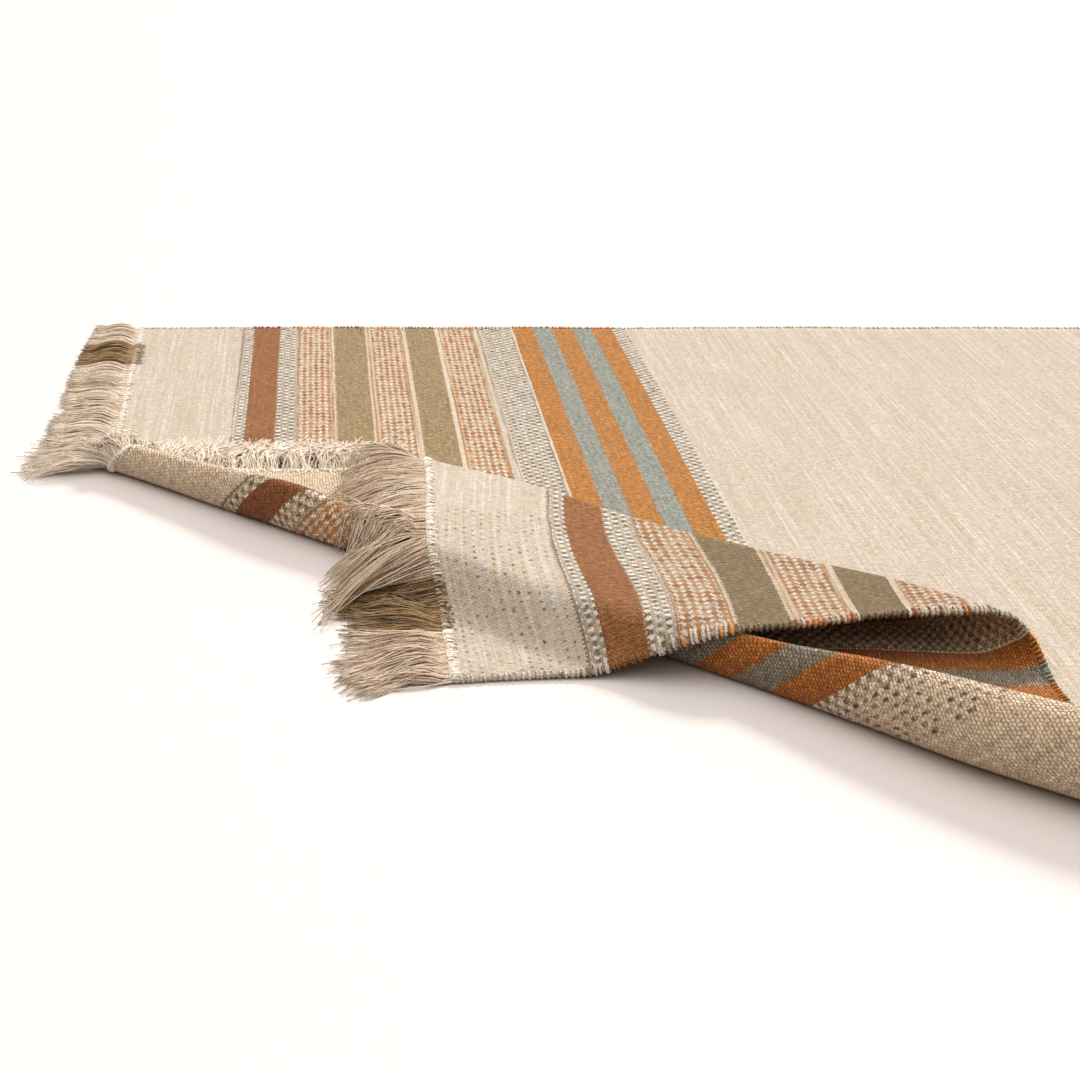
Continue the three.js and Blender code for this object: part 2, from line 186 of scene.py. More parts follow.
def lay_on_paths(paths, along, beyond):
    """Places and top-side directions at many lengths along many paths, by straight lines between
    path points. The slip along the fold grows evenly to the bend, then evenly to the corner."""
    q, z, length, bend_at, bend_slip, end_slip = paths
    k = (length[:, None, :] <= beyond[:, :, None]).sum(axis=-1) - 1
    k = np.clip(k, 0, q.shape[1] - 2)
    first = np.take_along_axis(length, k, 1)
    f = (beyond - first) / (np.take_along_axis(length, k + 1, 1) - first)

    def between(values):
        """The path points' values at each length, by a straight line from point to point."""
        return np.take_along_axis(values, k, 1) * (1 - f) + np.take_along_axis(values, k + 1, 1) * f

    run, rise = np.gradient(q, axis=1), np.gradient(z, axis=1)
    run[:, 0], rise[:, 0] = -1, 0
    size = np.hypot(run, rise)
    run, rise = between(run / size), between(rise / size)
    size = np.hypot(run, rise)
    past = (beyond - bend_at) / (CORNER_BEYOND - bend_at)
    slip = np.where(beyond <= bend_at, bend_slip * beyond / bend_at,
                    bend_slip + (end_slip - bend_slip) * past)
    slid, across = along[:, None] + slip, between(q)
    x = FOLD_START_U + slid * ALONG[0] + across * AWAY[0] - RUG_LENGTH / 2
    y = FOLD_START_V + slid * ALONG[1] + across * AWAY[1] - RUG_WIDTH / 2
    height = between(z) + floor_unevenness(x, y)
    top_side = np.stack([rise * AWAY[0], rise * AWAY[1], -run], axis=-1) / size[..., None]
    return np.stack([x, y, height], axis=-1), top_side


def laid_flat(u, v):
    """Flat places short of the contact line, straight down on the floor with its unevenness."""
    x, y = u - RUG_LENGTH / 2, v - RUG_WIDTH / 2
    return np.stack([x, y, HALF_THICKNESS + floor_unevenness(x, y)], axis=-1)


def laid(u, v):
    """Where any flat places of the rug lie in the room, and which way its top side faces there."""
    along, beyond = fold_place(u, v)
    folded, top_side = lay_on_paths(fold_paths(along), along, np.maximum(beyond, 0)[:, None])
    flat = (beyond <= 0)[:, None]
    up = np.array([0.0, 0.0, 1.0])
    return np.where(flat, laid_flat(u, v), folded[:, 0]), np.where(flat, up, top_side[:, 0])


def new_mesh(name, points, faces, materials, material_of=None):
    """A smooth-shaded object at the origin from arrays of points and faces."""
    mesh = bpy.data.meshes.new(name)
    mesh.from_pydata(points.tolist(), [], faces.tolist())
    mesh.polygons.foreach_set("use_smooth", np.ones(len(mesh.polygons), dtype=bool))
    for material in materials:
        mesh.materials.append(material)
    if material_of is not None:
        mesh.polygons.foreach_set("material_index", material_of.astype(np.int32))
    mesh.update()
    piece = bpy.data.objects.new(name, mesh)
    bpy.context.collection.objects.link(piece)
    return piece


def set_uv(piece, name, uv_of_points):
    """A UV map in metres that gives each corner its point's flat place."""
    corners = np.empty(len(piece.data.loops), dtype=np.int32)
    piece.data.loops.foreach_get("vertex_index", corners)
    layer = piece.data.uv_layers.new(name=name)
    layer.data.foreach_set("uv", uv_of_points[corners].astype(np.float32).ravel())


# How finely the sheet is cut up, how much closer its rows lie near the contact line, the shortest
# edge that is left where the cloth ends, and how far its rim bulges out.
FOLD_ROWS = 250
SELVEDGE_STEPS = 100
BODY_STEPS = 72
BODY_CROWDING = 1.25
SHORTEST_EDGE = 0.0004
RIM_BULGE = 0.0014


def rug_sheet():
    """The cloth's middle surface as points, flat places and triangles, and its rim in order. The
    folded corner is a grid of rows along the contact line by path points, cut off at the cloth's
    edge. The body is ruled from that line and the rest of the near selvedge to the far one."""
    along = np.unique(np.append(np.linspace(0, FOLD_END, FOLD_ROWS), CORNER_ALONG))
    rows = len(along)
    paths = fold_paths(along)
    length = paths[2]
    reach = np.where(along <= CORNER_ALONG, CORNER_BEYOND * along / CORNER_ALONG,
                     CORNER_BEYOND * (FOLD_END - along) / (FOLD_END - CORNER_ALONG))
    reach = np.maximum(reach, 0)[:, None]
    beyond = np.minimum(length, reach)
    places, top_sides = lay_on_paths(paths, along, beyond)
    end = (length < reach - SHORTEST_EDGE).sum(axis=1)
    column = np.arange(length.shape[1])[None, :]
    kept = column <= end[:, None]
    number = np.cumsum(kept.ravel()).reshape(kept.shape) - 1
    index = np.take_along_axis(number, np.minimum(column, end[:, None]), 1)
    a, b = index[:-1, :-1].ravel(), index[:-1, 1:].ravel()
    d, c = index[1:, :-1].ravel(), index[1:, 1:].ravel()
    fold_triangles = np.concatenate([
        np.stack([a, b, c], axis=1)[a != b],
        np.stack([a, c, d], axis=1)[c != d],
    ])
    flat_u = FOLD_START_U + along[:, None] * ALONG[0] - beyond * AWAY[0]
    flat_v = FOLD_START_V + along[:, None] * ALONG[1] - beyond * AWAY[1]
    fold_points = places[kept]
    fold_tops = top_sides[kept]
    fold_flat = np.stack([flat_u[kept], flat_v[kept]], axis=1)

    selvedge_u = np.linspace(flat_u[-1, 0], RUG_LENGTH, SELVEDGE_STEPS + 1)[1:]
    near_u = np.concatenate([flat_u[:, 0], selvedge_u])
    near_v = np.concatenate([flat_v[:, 0], np.zeros(SELVEDGE_STEPS)])
    far_u = (near_u - near_u[0]) * RUG_LENGTH / (RUG_LENGTH - near_u[0])
    t = (np.arange(BODY_STEPS + 1) / BODY_STEPS)[None, :] ** BODY_CROWDING
    body_u = near_u[:, None] * (1 - t) + far_u[:, None] * t
    body_v = near_v[:, None] * (1 - t) + RUG_WIDTH * t
    base = len(fold_points)
    body_index = base + np.arange(body_u.size).reshape(body_u.shape)
    body_index[:rows, 0] = index[:, 0]
    body_points = laid_flat(body_u, body_v).reshape(-1, 3)
    a, b = body_index[:-1, :-1].ravel(), body_index[1:, :-1].ravel()
    d, c = body_index[:-1, 1:].ravel(), body_index[1:, 1:].ravel()
    body_triangles = np.concatenate([np.stack([a, b, c], axis=1), np.stack([a, c, d], axis=1)])

    rim = np.concatenate([
        index[:, -1],
        body_index[rows:, 0],
        body_index[-1, 1:],
        body_index[::-1, -1][1:],
        body_index[0, ::-1][1:-1],
    ])
    points = np.concatenate([fold_points, body_points])
    tops = np.concatenate([fold_tops, np.tile([0.0, 0.0, 1.0], (len(body_points), 1))])
    flat = np.concatenate([fold_flat, np.stack([body_u.ravel(), body_v.ravel()], axis=1)])
    triangles = np.concatenate([fold_triangles, body_triangles])
    used = np.unique(triangles)
    renumber = np.full(len(points), -1)
    renumber[used] = np.arange(len(used))
    rim = renumber[rim]
    rim = rim[rim != np.roll(rim, 1)]
    return points[used], tops[used], flat[used], renumber[triangles], rim


def thicken(points, tops, flat, triangles, rim):
    """Closes a sheet into a body: both faces half the thickness off it, and a rim wall whose
    middle line bulges outwards, square to the rim and to the top side."""
    count = len(points)
    rim_points, rim_tops = points[rim], tops[rim]
    forward = np.roll(rim_points, -1, axis=0) - np.roll(rim_points, 1, axis=0)
    outward = np.cross(forward, rim_tops)
    outward /= np.linalg.norm(outward, axis=1)[:, None]
    middle = rim_points + outward * RIM_BULGE
    ring = 2 * count + np.arange(len(rim))
    after, ring_after = np.roll(rim, -1), np.roll(ring, -1)
    walls = np.concatenate([
        np.stack([count + rim, count + after, ring_after], axis=1),
        np.stack([count + rim, ring_after, ring], axis=1),
        np.stack([ring, ring_after, after], axis=1),
        np.stack([ring, after, rim], axis=1),
    ])
    body = np.concatenate([points + tops * HALF_THICKNESS, points - tops * HALF_THICKNESS, middle])
    faces = np.concatenate([triangles, count + triangles[:, ::-1], walls])
    side = np.repeat([0, 1, 2], [len(triangles), len(triangles), len(walls)])
    return body, np.concatenate([flat, flat, flat[rim]]), faces, side


def feed(tree, sockets, given):
    """Joins each socket to its worked-out value, or sets its fixed number or colour on it."""
    for socket, value in zip(sockets, given):
        if isinstance(value, bpy.types.NodeSocket):
            tree.links.new(value, socket)
        else:
            socket.default_value = (*value, 1.0) if isinstance(value, tuple) else value


def calc(tree, operation, *terms, clamp=False):
    """One step of arithmetic on a material's values."""
    node = tree.nodes.new("ShaderNodeMath")
    node.operation = operation
    node.use_clamp = clamp
    feed(tree, node.inputs, terms)
    return node.outputs[0]


def product(tree, first, *others):
    """All the factors multiplied together."""
    for other in others:
        first = calc(tree, "MULTIPLY", first, other)
    return first


def total(tree, first, *others):
    """All the terms added up."""
    for other in others:
        first = calc(tree, "ADD", first, other)
    return first


def scaled(tree, value, gain, offset=0.0, clamp=False):
    """The value times a gain plus an offset."""
    return calc(tree, "MULTIPLY_ADD", value, gain, offset, clamp=clamp)


def either_way(tree, value, size):
    """A soft random value about 0.5 turned into a stray of up to a size to either side."""
    return scaled(tree, value, 2 * size, -size)


def inside(tree, place, low, high):
    """1 where a place lies between two limits and 0 elsewhere."""
    return product(tree, calc(tree, "GREATER_THAN", place, low), calc(tree, "LESS_THAN", place, high))


def place_of(tree, x, y, z=0.0):
    """A place in space from its three parts."""
    node = tree.nodes.new("ShaderNodeCombineXYZ")
    feed(tree, node.inputs, (x, y, z))
    return node.outputs[0]


def blend_colours(tree, share, first, second, mode="MIX"):
    """The first colour with a share of the second mixed in, or multiplied by it."""
    node = tree.nodes.new("ShaderNodeMix")
    node.data_type = "RGBA"
    node.blend_type = mode
    feed(tree, (node.inputs[0], node.inputs[6], node.inputs[7]), (share, first, second))
    return node.outputs[2]


def shaded(tree, colour, level):
    """A colour made darker or lighter by a level about 1."""
    grey = tree.nodes.new("ShaderNodeCombineColor")
    feed(tree, grey.inputs, (level, level, level))
    return blend_colours(tree, 1.0, colour, grey.outputs[0], "MULTIPLY")


def linear(red, green, blue):
    """A colour seen on a screen, 0 to 255, as light: the sRGB curve undone."""
    seen = np.array([red, green, blue]) / 255
    return tuple(np.where(seen <= 0.04045, seen / 12.92, ((seen + 0.055) / 1.055) ** 2.4).tolist())


# The bands of colour all lie within this distance of either end, in millimetres.
BANDS_REACH = 760


def striped(tree, place, stops):
    """Even bands along a place in metres: each stop's colour, and its share where it has one,
    run to the next stop."""
    ramp = tree.nodes.new("ShaderNodeValToRGB")
    ramp.color_ramp.interpolation = "CONSTANT"
    bands = ramp.color_ramp.elements
    bands.remove(bands[1])
    for number, (start, colour, *share) in enumerate(stops):
        band = bands.new(start / BANDS_REACH) if number else bands[0]
        band.color = (*colour, *(share or (1.0,)))
    tree.links.new(calc(tree, "DIVIDE", place, BANDS_REACH / 1000, clamp=True), ramp.inputs[0])
    return ramp.outputs[0], ramp.outputs[1]


def noise(tree, vector, scale, detail=2.0, turn=0.0):
    """A soft random value about 0.5 over a place, with its pattern turned by an angle."""
    mapping = tree.nodes.new("ShaderNodeMapping")
    mapping.inputs["Rotation"].default_value = (0, 0, turn)
    tree.links.new(vector, mapping.inputs["Vector"])
    node = tree.nodes.new("ShaderNodeTexNoise")
    node.inputs["Scale"].default_value = scale
    node.inputs["Detail"].default_value = detail
    tree.links.new(mapping.outputs[0], node.inputs["Vector"])
    return node.outputs["Fac"]


def yarn_noise(tree, u, v, along_scale, across_scale, layer, detail):
    """A soft random value about 0.5 that changes so many times a metre along the rug and across
    it. Each layer has a pattern of its own."""
    place = place_of(tree, scaled(tree, u, along_scale), scaled(tree, v, across_scale), layer)
    return noise(tree, place, 1.0, detail)


def dice(tree, column, row, layer=0.0):
    """An even random value from 0 to 1 for each whole-number column and row of a layer."""
    node = tree.nodes.new("ShaderNodeTexWhiteNoise")
    node.noise_dimensions = "3D"
    tree.links.new(place_of(tree, column, row, layer), node.inputs["Vector"])
    return node.outputs["Value"]


def pulse(tree, share, width, soft):
    """1 in the middle of a repeat and 0 away from it, with soft flanks."""
    away = calc(tree, "ABSOLUTE", scaled(tree, share, 1.0, -0.5))
    return calc(tree, "DIVIDE", calc(tree, "SUBTRACT", width / 2 + soft / 2, away), soft, clamp=True)


CREAM = linear(199, 187, 171)
OLIVE = linear(127, 112, 89)
BROWN = linear(141, 91, 49)
RUST = linear(154, 108, 72)
ORANGE = linear(172, 114, 46)
SPOT_ORANGE = linear(196, 124, 44)
ROSE = linear(160, 102, 56)
GOLD = linear(214, 172, 102)
BLUE = linear(138, 142, 134)
WHITE = linear(224, 217, 207)
LINE = linear(212, 202, 188)
TAN = linear(190, 162, 124)
DARK_OLIVE = linear(124, 107, 74)
PATCH_OLIVE = linear(112, 94, 64)
# Painted shade inside the small holes of the weave.
HOLE_SHADE_BROWN = linear(126, 97, 66)
NOTHING = (0.0, 0.0, 0.0)
ALL = (1.0, 1.0, 1.0)

# Bands across the rug by distance from either end, in millimetres.
BANDS = [
    (0, CREAM), (151.5, OLIVE), (156.0, CREAM), (171.5, BROWN), (209.6, CREAM), (235.0, RUST),
    (238.5, CREAM), (284.0, RUST), (287.0, LINE), (290.0, OLIVE), (337.0, LINE), (340.0, RUST),
    (344.0, CREAM), (389.5, RUST), (393.5, CREAM), (396.5, LINE), (399.5, OLIVE), (444.5, LINE),
    (448.5, RUST), (452.0, CREAM), (501.1, RUST), (504.2, CREAM), (509.5, OLIVE), (513.5, CREAM),
    (560.4, OLIVE), (562.6, LINE), (567.0, ORANGE), (598.0, BLUE), (627.0, ORANGE), (659.5, BLUE),
    (691.5, ORANGE), (723.0, CREAM),
]
# Where beads stand between spots of colour, and the colour of the spots.
SPOTS = [
    (0, NOTHING, 0.0), (156.5, DARK_OLIVE, 1.0), (171.5, NOTHING, 0.0), (210.0, DARK_OLIVE, 1.0),
    (235.0, NOTHING, 0.0), (238.5, SPOT_ORANGE, 1.0), (284.0, NOTHING, 0.0), (344.6, SPOT_ORANGE, 1.0),
    (389.0, NOTHING, 0.0), (453.0, SPOT_ORANGE, 1.0), (501.0, NOTHING, 0.0), (514.0, DARK_OLIVE, 1.0),
    (560.0, NOTHING, 0.0), (723.0, OLIVE, 1.0), (745.0, NOTHING, 0.0),
]
# Where the ground is cream, where the spots run together into lines, and where small holes show.
CREAM_GROUND = [
    (0, ALL), (171.5, NOTHING), (210, ALL), (290, NOTHING), (337, ALL), (399.5, NOTHING),
    (444.5, ALL), (566, NOTHING), (723, ALL),
]
SPOT_LINES = [(0, NOTHING), (238.5, ALL), (504, NOTHING)]
TOP_HOLES = [(0, NOTHING), (18, ALL), (148, NOTHING)]
UNDER_HOLES = [(0, NOTHING), (742, ALL)]
# The rest is in metres: where the holes end and where the olive bands lie from either end, which get
# painted shade near the turned corner, how far the stripes bow and up to which place across the rug,
# and where the warp ends are dyed olive.
# Over those the cloth is olive too, for a finger's width beside the fringe.
HOLES_END = 0.80
OLIVE_BANDS = (0.28, 0.46)
BOW = 0.006
BOW_WIDTH = 0.50
OLIVE_WARPS = [(0.129, 0.219), (1.407, 1.509)]
PATCH_DEPTH = 0.010
# One rib lies over each warp end. A bead's repeat is four wefts by four ribs.
RIB = 0.00336
WEFT = 0.0021
BEAD_COLUMN = 4 * WEFT
BEAD_ROW = 4 * RIB


def woven_cloth(name, coarse, cream_tint_and_shade, dye_tint_and_shade, holes, holes_to_v, hole_size, hole_spread):
    """The weave on the rug's flat places. Ribs run along the rug over each warp end, and on each rib
    the weft shows as domes, half a dome further on from rib to rib. Each weft keeps its own shade
    across the rug. In the fine bands beads of cream stand between spots of colour. Painted shade and
    light from this relief is laid into the colour: darker round the edge of each dome, in the holes
    and between the beads, lighter on the beads' tops. coarse is how much rougher this side is in the
    cream, 0 to 1, and deepens that painted shade. The tints are its cream's and its dyes' colour
    against the top's; on the underside they are partly its own warmer colour and partly painted shade
    for the roll's front and the hollow under the flap. Holes show in the bands given, up to a place
    across the rug, each hole_size of its stitch, and more of them with a higher hole_spread."""
    material = bpy.data.materials.new(name)
    material.use_nodes = True
    tree = material.node_tree
    shader = tree.nodes["Principled BSDF"]
    uv = tree.nodes.new("ShaderNodeUVMap")
    uv.uv_map = "flat"
    split = tree.nodes.new("ShaderNodeSeparateXYZ")
    tree.links.new(uv.outputs[0], split.inputs[0])
    flat, u, v = uv.outputs[0], split.outputs[0], split.outputs[1]

    # The stripes wander a few millimetres, bow a little where the corner was turned, and the ribs
    # and single stitches stray a little.
    wander = either_way(tree, noise(tree, flat, 3.2, 1.0), 0.0020)
    shiver = either_way(tree, noise(tree, flat, 70.0, 1.0), 0.0006)
    half_turn = scaled(tree, calc(tree, "DIVIDE", v, BOW_WIDTH, clamp=True), np.pi)
    bow = product(tree, calc(tree, "SINE", half_turn), calc(tree, "LESS_THAN", u, 1.0), BOW)
    place = total(tree, u, wander, shiver, bow)
    from_end = calc(tree, "MINIMUM", place, calc(tree, "SUBTRACT", RUG_LENGTH, place))
    sway = either_way(tree, noise(tree, flat, 40.0, 1.0), 0.0020)
    width_place = calc(tree, "ADD", v, sway)
    loose = noise(tree, flat, 210.0, 1.0)
    loose_other = noise(tree, flat, 230.0, 1.0, turn=0.7)
    stitch_u = total(tree, from_end, either_way(tree, loose, 0.0011))
    stitch_v = total(tree, width_place, either_way(tree, loose_other, 0.0020))

    # One dome of weft: its rib, its place on the rib, and how high it stands.
    rib_count = calc(tree, "DIVIDE", stitch_v, RIB)
    rib = calc(tree, "FLOOR", rib_count)
    odd = scaled(tree, calc(tree, "MODULO", rib, 2.0), 0.5)
    dome_count = calc(tree, "ADD", calc(tree, "DIVIDE", stitch_u, 2 * WEFT), odd)
    dome_number = calc(tree, "FLOOR", dome_count)
    weft_place = scaled(tree, calc(tree, "SUBTRACT", dome_number, odd), 2 * WEFT, WEFT)
    sideways = scaled(tree, calc(tree, "FRACT", rib_count), 1.0, -0.5)
    lengthways = scaled(tree, calc(tree, "FRACT", dome_count), 1.0, -0.5)
    off_centre = total(
        tree, product(tree, sideways, sideways, 3.2), product(tree, lengthways, lengthways, 2.8))
    dome = calc(tree, "SQRT", calc(tree, "SUBTRACT", 1.0, off_centre, clamp=True))

    # Each weft keeps a shade of its own for a hand's width, thickens and thins along it, and runs
    # with a few neighbours in a broader streak. Each dome differs, stitches bunch in the dyed
    # bands, and the wool is flecked.
    streak = yarn_noise(tree, place, v, 430.0, 11.0, layer=0.0, detail=3.0)
    lasting = yarn_noise(tree, place, v, 230.0, 3.0, layer=5.0, detail=2.0)
    slub = yarn_noise(tree, weft_place, v, 900.0, 62.0, layer=9.0, detail=2.0)
    bunch = yarn_noise(tree, place, v, 170.0, 190.0, layer=3.0, detail=2.0)
    own = dice(tree, dome_number, rib)
    fleck = noise(tree, flat, 620.0, 2.0)
    cloud = noise(tree, flat, 9.0, 3.0)

    # Band colours change from dome to dome rather than along a sharp line.
    toothed = total(tree, scaled(tree, from_end, 0.35), scaled(tree, weft_place, 0.65))
    band = striped(tree, toothed, BANDS)[0]
    cream_ground = striped(tree, toothed, CREAM_GROUND)[0]
    spot_colour, spotted = striped(tree, from_end, SPOTS)
    lines = striped(tree, from_end, SPOT_LINES)[0]

    # Olive spots stand apart, half a row further on from column to column. Orange spots touch one
    # another in lines. Round beads of white fill in between.
    column_count = calc(
        tree, "DIVIDE", total(tree, from_end, either_way(tree, loose, 0.0020)), BEAD_COLUMN)
    column = calc(tree, "FLOOR", column_count)
    column_share = calc(tree, "FRACT", column_count)
    stagger = product(tree, calc(tree, "MODULO", column, 2.0), 0.5, scaled(tree, lines, -0.6, 1.0))
    drifted = total(tree, width_place, either_way(tree, loose_other, 0.0055))
    row_count = calc(tree, "ADD", calc(tree, "DIVIDE", drifted, BEAD_ROW), stagger)
    row_share = calc(tree, "FRACT", row_count)
    chance = dice(tree, column, calc(tree, "FLOOR", row_count), layer=3.0)
    in_row = pulse(tree, row_share, width=0.50, soft=0.22)
    swelling = product(tree, in_row, scaled(tree, chance, 0.18, 0.03))
    half_width = total(tree, swelling, scaled(tree, lines, 0.09, 0.13))
    from_column = calc(tree, "ABSOLUTE", scaled(tree, column_share, 1.0, -0.5))
    in_column = scaled(tree, calc(tree, "SUBTRACT", half_width, from_column), 8.0, 0.5, clamp=True)
    joined = calc(tree, "MAXIMUM", in_row, scaled(tree, lines, 0.60, 0.06))
    spot = product(tree, in_column, joined, spotted, scaled(tree, chance, 0.4, 0.7))
    bead_share = calc(tree, "FRACT", total(tree, column_share, scaled(tree, lines, 0.5)))
    bead_u = scaled(tree, bead_share, 2.2, -1.1)
    bead_v = scaled(tree, calc(tree, "PINGPONG", row_share, 0.5), 3.0)
    off_bead = total(tree, product(tree, bead_u, bead_u), product(tree, bead_v, bead_v))
    bead_round = calc(tree, "SQRT", calc(tree, "SUBTRACT", 1.0, off_bead, clamp=True))
    bead = product(tree, bead_round, spotted)

    # Small holes show between the wefts: on the top side near the turned corner, and larger ones
    # underneath beside the last orange band.
    hole_column = pulse(tree, column_share, hole_size, soft=0.20)
    hole_row = pulse(tree, row_share, hole_size, soft=0.14)
    patchy = scaled(tree, noise(tree, flat, 30.0, 1.0), 5.0, hole_spread, clamp=True)
    open_weave = product(
        tree, striped(tree, from_end, holes)[0], calc(tree, "LESS_THAN", from_end, HOLES_END),
        calc(tree, "LESS_THAN", v, holes_to_v))
    hole = product(tree, hole_column, hole_row, open_weave, patchy, scaled(tree, chance, 0.9, 0.2))

    # Cream yarn is a blend: whiter and tan wefts among it, for a hand's width or more, a golden
    # cast between the orange spots, and the whitest wool in the beads.
    blend = total(tree, scaled(tree, streak, 0.6), scaled(tree, lasting, 0.4))
    tan_weft = scaled(tree, blend, 7.0, -3.75, clamp=True)
    tan_share = product(tree, tan_weft, cream_ground, 0.75 - 0.7 * coarse)
    white_share = product(tree, scaled(tree, blend, -7.0, 3.50, clamp=True), cream_ground)
    white_bead = product(tree, bead, scaled(tree, lines, -0.20, 0.80))
    cream_yarn = blend_colours(tree, tan_share, band, TAN)
    cream_yarn = blend_colours(tree, white_share, cream_yarn, WHITE)
    cream_yarn = blend_colours(tree, scaled(tree, lines, 0.20), cream_yarn, GOLD)
    cream_yarn = blend_colours(tree, white_bead, cream_yarn, WHITE)

    # Some of the orange spots are rosier and some are golden.
    rosy = product(tree, calc(tree, "GREATER_THAN", chance, 0.72), lines, 0.8)
    golden = product(tree, calc(tree, "LESS_THAN", chance, 0.24), lines, 0.8)
    spot_colour = blend_colours(tree, rosy, spot_colour, ROSE)
    spot_colour = blend_colours(tree, golden, spot_colour, GOLD)
    dyed = blend_colours(tree, spot, cream_yarn, spot_colour)

    # The cloth's ends are olive over the olive warps, and the holes are given painted shade, a shaded
    # brown.
    patch_end = total(
        tree, scaled(tree, v, -END_SKEW / RUG_WIDTH, END_SKEW + PATCH_DEPTH), scaled(tree, own, 0.007))
    over_warps = total(tree, *[inside(tree, stitch_v, low, high) for low, high in OLIVE_WARPS])
    patch = product(tree, over_warps, calc(tree, "LESS_THAN", from_end, patch_end), 0.9)
    dyed = blend_colours(tree, patch, dyed, PATCH_OLIVE)
    dyed = blend_colours(tree, scaled(tree, hole, 0.8), dyed, HOLE_SHADE_BROWN)
    # The side's tints, which on the underside are partly painted shade.
    tint_and_shade = blend_colours(tree, cream_ground, dye_tint_and_shade, cream_tint_and_shade)
    dyed = blend_colours(tree, 1.0, dyed, tint_and_shade, "MULTIPLY")

    # Painted shade: near the turned corner's selvedge the olive bands, and a little the orange spots,
    # are made darker for the shade the flap's slope lies in there.
    dyed_ground = scaled(tree, cream_ground, -1.0, 1.0)
    olive_band = product(tree, dyed_ground, inside(tree, from_end, *OLIVE_BANDS))
    near_corner = scaled(tree, v, -3.0, 1.90, clamp=True)
    corner_shade = product(tree, near_corner, calc(tree, "MAXIMUM", olive_band, scaled(tree, lines, 0.35)))

    # Dyed wefts differ more from one another than cream ones do. The level also lays painted shade and
    # light from the relief into the colour: darker round the edge of each dome, more so in the dyed
    # bands and on a rough side, darker in the holes, near the turned corner and between the beads, and
    # lighter on the beads' tops.
    smooth = scaled(tree, cream_ground, 1.0 - coarse)

    def uneven(value, gain_in_cream, gain_in_dye):
        """A level of 1, raised and lowered by a value about 0.5 with the ground's own gain."""
        gain = scaled(tree, smooth, gain_in_cream - gain_in_dye, gain_in_dye)
        return calc(tree, "MULTIPLY_ADD", scaled(tree, value, 1.0, -0.5), gain, 1.0)

    level = product(
        tree,
        # Painted shade round the edge of each dome.
        uneven(dome, 0.42, 1.15 + 0.7 * coarse),
        uneven(own, 0.16, 0.34),
        uneven(streak, 0.60, 0.70),
        uneven(slub, 0.50, 0.95),
        uneven(bunch, 0.50, 1.20),
        # Painted shade on the olive bands and orange spots near the turned corner.
        scaled(tree, corner_shade, -0.36, 1.0),
        scaled(tree, fleck, 0.50, 0.54),
        scaled(tree, cloud, 0.08, 0.96),
        # Painted shade in the holes.
        scaled(tree, hole, -0.25 - 0.4 * coarse, 1.0),
        # Painted light on the beads' tops.
        scaled(tree, bead, 0.16, 1.0),
    )
    # Painted shade between the beads, less where a spot of colour lies.
    between_beads = product(tree, spotted, scaled(tree, bead_round, -1.0, 1.0))
    shade_between_beads = product(tree, between_beads, scaled(tree, spot, -0.6, 1.0), 0.26)
    level = product(tree, level, scaled(tree, shade_between_beads, -1.0, 1.0))
    tree.links.new(shaded(tree, dyed, level), shader.inputs["Base Color"])

    # The relief: domes and bunched stitches stand out more in the dyed bands and on a rough side.
    relief = scaled(tree, smooth, -0.5, 1.0 + 1.2 * coarse)
    height = total(
        tree,
        product(tree, dome, relief, 1.00),
        product(tree, bunch, relief, 2.4),
        scaled(tree, slub, 0.9),
        scaled(tree, streak, 0.8),
        scaled(tree, own, 0.30),
        scaled(tree, fleck, 0.40),
        scaled(tree, bead, 1.3),
        scaled(tree, hole, -0.9),
        scaled(tree, spot, -0.5),
    )
    bump = tree.nodes.new("ShaderNodeBump")
    bump.inputs["Strength"].default_value = 1.0
    bump.inputs["Distance"].default_value = 0.0010
    tree.links.new(height, bump.inputs["Height"])
    tree.links.new(bump.outputs[0], shader.inputs["Normal"])
    shader.inputs["Roughness"].default_value = 0.92
    shader.inputs["Specular IOR Level"].default_value = 0.2
    shader.inputs["Sheen Weight"].default_value = 0.12
    shader.inputs["Sheen Roughness"].default_value = 0.5
    return material


cloth_top = woven_cloth(
    "kilim_top", coarse=0.0, cream_tint_and_shade=ALL, dye_tint_and_shade=ALL,
    holes=TOP_HOLES, holes_to_v=0.36, hole_size=0.28, hole_spread=-1.5)
# The underside's tints darken and warm it: partly its own colour, partly painted shade for the roll's
# front and the hollow under the flap.
cloth_under = woven_cloth(
    "kilim_underside", coarse=0.5, cream_tint_and_shade=(1.08, 0.955, 0.815), dye_tint_and_shade=(0.86, 0.68, 0.57),
    holes=UNDER_HOLES, holes_to_v=RUG_WIDTH, hole_size=0.44, hole_spread=-1.2)
cloth_points, cloth_flat, cloth_faces, cloth_side = thicken(*rug_sheet())
rug = new_mesh("rug_sheet", cloth_points, cloth_faces, [cloth_top, cloth_under, cloth_top], cloth_side)
set_uv(rug, "flat", cloth_flat)
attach(rug, "root")
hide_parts("rug_cloth")

# The fringe: the rug's own warp ends, left long at both short ends as a thick row of fine, wavy
# cotton yarns in loose locks. On the turned corner they drape over the roll and the cloth below.
LOCKS = 110
YARN_RADIUS = 0.00074
YARN_STEPS = 11
YARN_SIDES = 4
